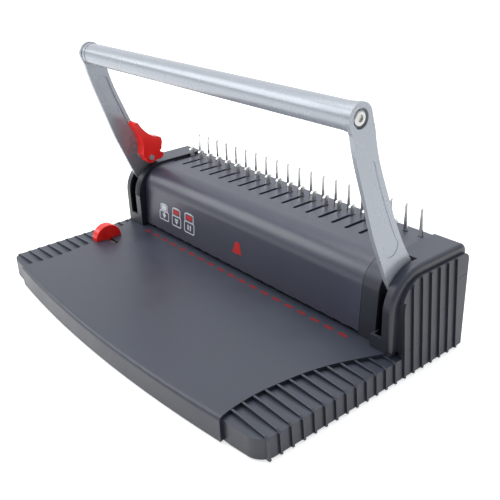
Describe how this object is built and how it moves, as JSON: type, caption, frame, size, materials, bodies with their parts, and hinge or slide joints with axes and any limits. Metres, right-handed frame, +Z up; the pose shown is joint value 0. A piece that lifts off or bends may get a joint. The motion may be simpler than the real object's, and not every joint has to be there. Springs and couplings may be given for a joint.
{
  "type": "comb binding machine",
  "caption": "Manual comb binding machine: punches paper with a U-shaped lever handle and opens plastic combs with a row of hooks behind a bowed paper table.",
  "frame": {"origin": "on the resting plane, under the middle of the machine's own bounding box", "axes": "+X to the operator's right along the comb, +Y to the rear, +Z up"},
  "size_m": [0.3538, 0.2148, 0.1979],
  "materials": {
    "tray_plastic": "satin",
    "housing_plastic": "satin",
    "cover_plastic": "satin",
    "black_plastic": "matte",
    "rubber": "matte",
    "zinc_screw": "satin",
    "zinc_steel": "satin",
    "tool_steel": "satin",
    "comb_steel": "gloss",
    "bush_plastic": "matte",
    "silver_paint": "satin",
    "red_plastic": "gloss"
  },
  "bodies": {
    "chassis": {"base_tray": "tray_plastic", "bottom_plate": "black_plastic", "rubber_feet": "rubber", "bottom_screws": "zinc_screw", "housing": "housing_plastic", "front_cover": "cover_plastic", "side_frame_left": "zinc_steel", "side_frame_right": "zinc_steel", "shaft_bush_left": "bush_plastic", "shaft_bush_right": "bush_plastic", "die_plate": "tool_steel", "punch_guide_bar": "tool_steel", "die_spacers": "zinc_steel", "frame_bolts": "zinc_screw", "finger_comb": "comb_steel", "finger_comb_bolts": "zinc_screw", "finger_comb_spacers": "zinc_steel", "frame_screws": "zinc_screw", "slide_screws": "zinc_screw"},
    "handle": {"arm_left": "silver_paint", "arm_right": "silver_paint", "grip_tube": "silver_paint", "grip_plugs": "bush_plastic", "grip_screws": "zinc_screw", "drive_shaft": "tool_steel", "shaft_end_screws": "zinc_screw", "punch_cranks": "zinc_steel", "hook_cranks": "zinc_steel", "latch_pin": "tool_steel", "latch_spring": "tool_steel"},
    "latch": {"latch_lever": "red_plastic"},
    "punch_slide": {"pressure_bar": "tool_steel", "punch_pins": "tool_steel", "bar_forks": "zinc_steel"},
    "hook_slide": {"hook_carrier": "comb_steel", "carrier_forks": "zinc_steel", "opening_hooks": "comb_steel"},
    "edge_guide": {"guide_knob": "red_plastic", "guide_clip": "bush_plastic", "guide_screw": "zinc_screw"},
    "drawer": {"chip_drawer": "black_plastic"}
  },
  "joints": [
    {"name": "handle_swing", "type": "hinge", "parent": "chassis", "child": "handle", "pos_m": [0, 0.05654, 0.05], "axis": [1, 0, 0], "range_deg": [0, 70]},
    {"name": "punch_stroke", "type": "slide", "parent": "chassis", "child": "punch_slide", "axis": [0, 0, -1], "range_m": [0, 0.0092]},
    {"name": "hook_travel", "type": "slide", "parent": "chassis", "child": "hook_slide", "axis": [0, -1, 0], "range_m": [0, 0.01608]},
    {"name": "latch_pivot", "type": "hinge", "parent": "handle", "child": "latch", "pos_m": [-0.145, 0.04194, 0.0874], "axis": [1, 0, 0], "range_deg": [-14, 0], "stiffness_Nm_per_rad": 0.03, "springref_deg": 17.19},
    {"name": "edge_guide_slide", "type": "slide", "parent": "chassis", "child": "edge_guide", "axis": [1, 0, 0], "range_m": [0, 0.0128]},
    {"name": "drawer_slide", "type": "slide", "parent": "chassis", "child": "drawer", "axis": [0, 1, 0], "range_m": [0, 0.055]}
  ],
  "couplings": [
    {"joint": "punch_stroke", "follows": "handle_swing", "m_per_rad": 0.0075117},
    {"joint": "hook_travel", "follows": "handle_swing", "m_per_rad": 0.013145}
  ]
}
